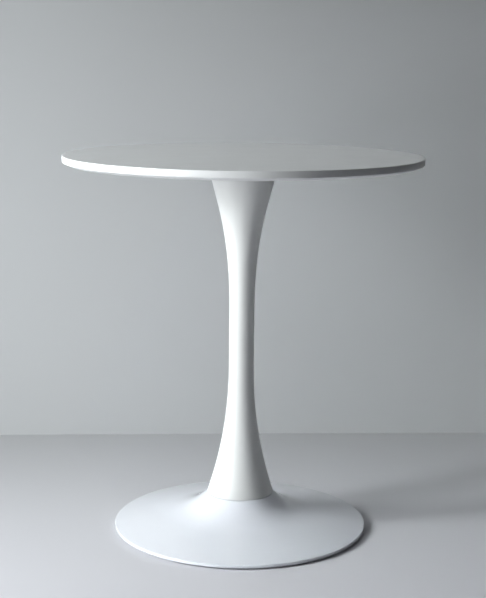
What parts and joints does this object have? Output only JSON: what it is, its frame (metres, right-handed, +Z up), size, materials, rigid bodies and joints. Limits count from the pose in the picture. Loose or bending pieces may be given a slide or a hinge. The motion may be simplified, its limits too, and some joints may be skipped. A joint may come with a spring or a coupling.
{
  "type": "round pedestal table",
  "caption": "Round-topped pedestal table with a trumpet column, a low flared disc base with inner ballast, and screw-adjusted levelling glides.",
  "frame": {"origin": "on the floor, on the table's axis, under the middle of the base", "axes": "+Z up along the column's axis, +X to the right and -Y to the front; the table is round, so the front is only a convention"},
  "size_m": [0.7, 0.7, 0.75],
  "materials": {
    "top_lacquer": "white satin lacquer on fibreboard",
    "column_powder": "white satin powder coat",
    "base_powder": "white semi-gloss powder coat",
    "black_steel": "black powder coat",
    "zinc_steel": "bright zinc plating",
    "cast_iron": "primed grey iron casting",
    "brass": "plain brass",
    "grey_nylon": "moulded grey nylon"
  },
  "bodies": {
    "table_frame": {"tabletop_board": "top_lacquer", "mounting_plate": "black_steel", "rod_socket": "black_steel", "column_shell": "column_powder", "column_mouth_disc": "zinc_steel", "column_foot_disc": "zinc_steel", "base_shell": "base_powder", "ballast_casting": "cast_iron", "tie_rod": "zinc_steel", "rod_washer": "zinc_steel", "rod_spring_washer": "zinc_steel", "rod_nut": "zinc_steel", "threaded_insert_1": "brass", "plate_screw_1": "zinc_steel", "threaded_insert_2": "brass", "plate_screw_2": "zinc_steel", "threaded_insert_3": "brass", "plate_screw_3": "zinc_steel", "threaded_insert_4": "brass", "plate_screw_4": "zinc_steel", "threaded_insert_5": "brass", "plate_screw_5": "zinc_steel", "threaded_insert_6": "brass", "plate_screw_6": "zinc_steel"},
    "pad_1": {"glide_pad_1": "grey_nylon"},
    "stem_1": {"glide_stem_1": "zinc_steel"},
    "pad_2": {"glide_pad_2": "grey_nylon"},
    "stem_2": {"glide_stem_2": "zinc_steel"},
    "pad_3": {"glide_pad_3": "grey_nylon"},
    "stem_3": {"glide_stem_3": "zinc_steel"},
    "pad_4": {"glide_pad_4": "grey_nylon"},
    "stem_4": {"glide_stem_4": "zinc_steel"},
    "pad_5": {"glide_pad_5": "grey_nylon"},
    "stem_5": {"glide_stem_5": "zinc_steel"},
    "pad_6": {"glide_pad_6": "grey_nylon"},
    "stem_6": {"glide_stem_6": "zinc_steel"}
  },
  "joints": [
    {"name": "glide_1_lift", "type": "slide", "parent": "table_frame", "child": "pad_1", "axis": [0, 0, 1], "range_m": [-0.005, 0]},
    {"name": "glide_1_turn", "type": "hinge", "parent": "pad_1", "child": "stem_1", "pos_m": [0.15415, 0.089, 0.01], "axis": [0, 0, 1], "range_deg": [-1440, 0]},
    {"name": "glide_2_lift", "type": "slide", "parent": "table_frame", "child": "pad_2", "axis": [0, 0, 1], "range_m": [-0.005, 0]},
    {"name": "glide_2_turn", "type": "hinge", "parent": "pad_2", "child": "stem_2", "pos_m": [0, 0.178, 0.01], "axis": [0, 0, 1], "range_deg": [-1440, 0]},
    {"name": "glide_3_lift", "type": "slide", "parent": "table_frame", "child": "pad_3", "axis": [0, 0, 1], "range_m": [-0.005, 0]},
    {"name": "glide_3_turn", "type": "hinge", "parent": "pad_3", "child": "stem_3", "pos_m": [-0.15415, 0.089, 0.01], "axis": [0, 0, 1], "range_deg": [-1440, 0]},
    {"name": "glide_4_lift", "type": "slide", "parent": "table_frame", "child": "pad_4", "axis": [0, 0, 1], "range_m": [-0.005, 0]},
    {"name": "glide_4_turn", "type": "hinge", "parent": "pad_4", "child": "stem_4", "pos_m": [-0.15415, -0.089, 0.01], "axis": [0, 0, 1], "range_deg": [-1440, 0]},
    {"name": "glide_5_lift", "type": "slide", "parent": "table_frame", "child": "pad_5", "axis": [0, 0, 1], "range_m": [-0.005, 0]},
    {"name": "glide_5_turn", "type": "hinge", "parent": "pad_5", "child": "stem_5", "pos_m": [0, -0.178, 0.01], "axis": [0, 0, 1], "range_deg": [-1440, 0]},
    {"name": "glide_6_lift", "type": "slide", "parent": "table_frame", "child": "pad_6", "axis": [0, 0, 1], "range_m": [-0.005, 0]},
    {"name": "glide_6_turn", "type": "hinge", "parent": "pad_6", "child": "stem_6", "pos_m": [0.15415, -0.089, 0.01], "axis": [0, 0, 1], "range_deg": [-1440, 0]}
  ],
  "couplings": [
    {"joint": "glide_1_turn", "follows": "glide_1_lift", "rad_per_m": 5026.5},
    {"joint": "glide_2_turn", "follows": "glide_2_lift", "rad_per_m": 5026.5},
    {"joint": "glide_3_turn", "follows": "glide_3_lift", "rad_per_m": 5026.5},
    {"joint": "glide_4_turn", "follows": "glide_4_lift", "rad_per_m": 5026.5},
    {"joint": "glide_5_turn", "follows": "glide_5_lift", "rad_per_m": 5026.5},
    {"joint": "glide_6_turn", "follows": "glide_6_lift", "rad_per_m": 5026.5}
  ]
}
